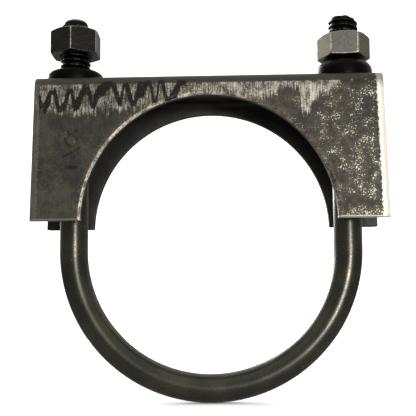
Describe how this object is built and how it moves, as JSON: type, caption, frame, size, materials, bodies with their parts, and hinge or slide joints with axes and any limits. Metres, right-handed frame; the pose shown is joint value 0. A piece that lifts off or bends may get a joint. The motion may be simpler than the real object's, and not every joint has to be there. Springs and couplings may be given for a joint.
{
  "type": "saddle clamp u-bolt",
  "caption": "Round-rod U-bolt with threaded studs through a pressed channel saddle with arched flanges, hex nuts and domed washers, for clamping round pipe.",
  "frame": {"origin": "on the axis of the round pipe seat, half way through the saddle's depth", "axes": "+Z along the studs towards the nuts, +Y along the pipe's axis, +X along the saddle; the U bend hangs towards -Z"},
  "size_m": [0.106, 0.028, 0.1195],
  "materials": {
    "mill_scale_steel": "hot-rolled mill scale, scraped bright along the top of the front face",
    "dark_rod_steel": "dark oiled rod, satin",
    "black_oxide_steel": "black oxide, satin",
    "dark_nut_steel": "dark oxide with worn corners",
    "worn_nut_steel": "worn grey steel, satin"
  },
  "bodies": {
    "saddle": {"saddle": "mill_scale_steel"},
    "u_bolt": {"u_bolt": "dark_rod_steel"},
    "left_washer": {"left_washer": "black_oxide_steel"},
    "right_washer": {"right_washer": "black_oxide_steel"},
    "left_nut": {"left_nut": "dark_nut_steel"},
    "right_nut": {"right_nut": "worn_nut_steel"}
  },
  "joints": [
    {"name": "left_nut_spin", "type": "hinge", "parent": "saddle", "child": "left_nut", "pos_m": [-0.042, 0, 0.0545], "axis": [0, 0, 1], "range_deg": [-2881, 1]},
    {"name": "right_nut_spin", "type": "hinge", "parent": "saddle", "child": "right_nut", "pos_m": [0.042, 0, 0.0514], "axis": [0, 0, 1], "range_deg": [-2881, 1]},
    {"name": "u_bolt_slide", "type": "slide", "parent": "saddle", "child": "u_bolt", "axis": [0, 0, 1], "range_m": [0, 0.0127]},
    {"name": "left_washer_lift", "type": "slide", "parent": "saddle", "child": "left_washer", "axis": [0, 0, 1], "range_m": [0, 0.0034]},
    {"name": "right_washer_spin", "type": "hinge", "parent": "saddle", "child": "right_washer", "pos_m": [0.042, 0, 0.0443], "axis": [0, 0, 1], "continuous": true}
  ],
  "couplings": [
    {"joint": "left_nut_spin", "follows": "u_bolt_slide", "rad_per_m": -3957.9},
    {"joint": "right_nut_spin", "follows": "u_bolt_slide", "rad_per_m": -3957.9}
  ]
}
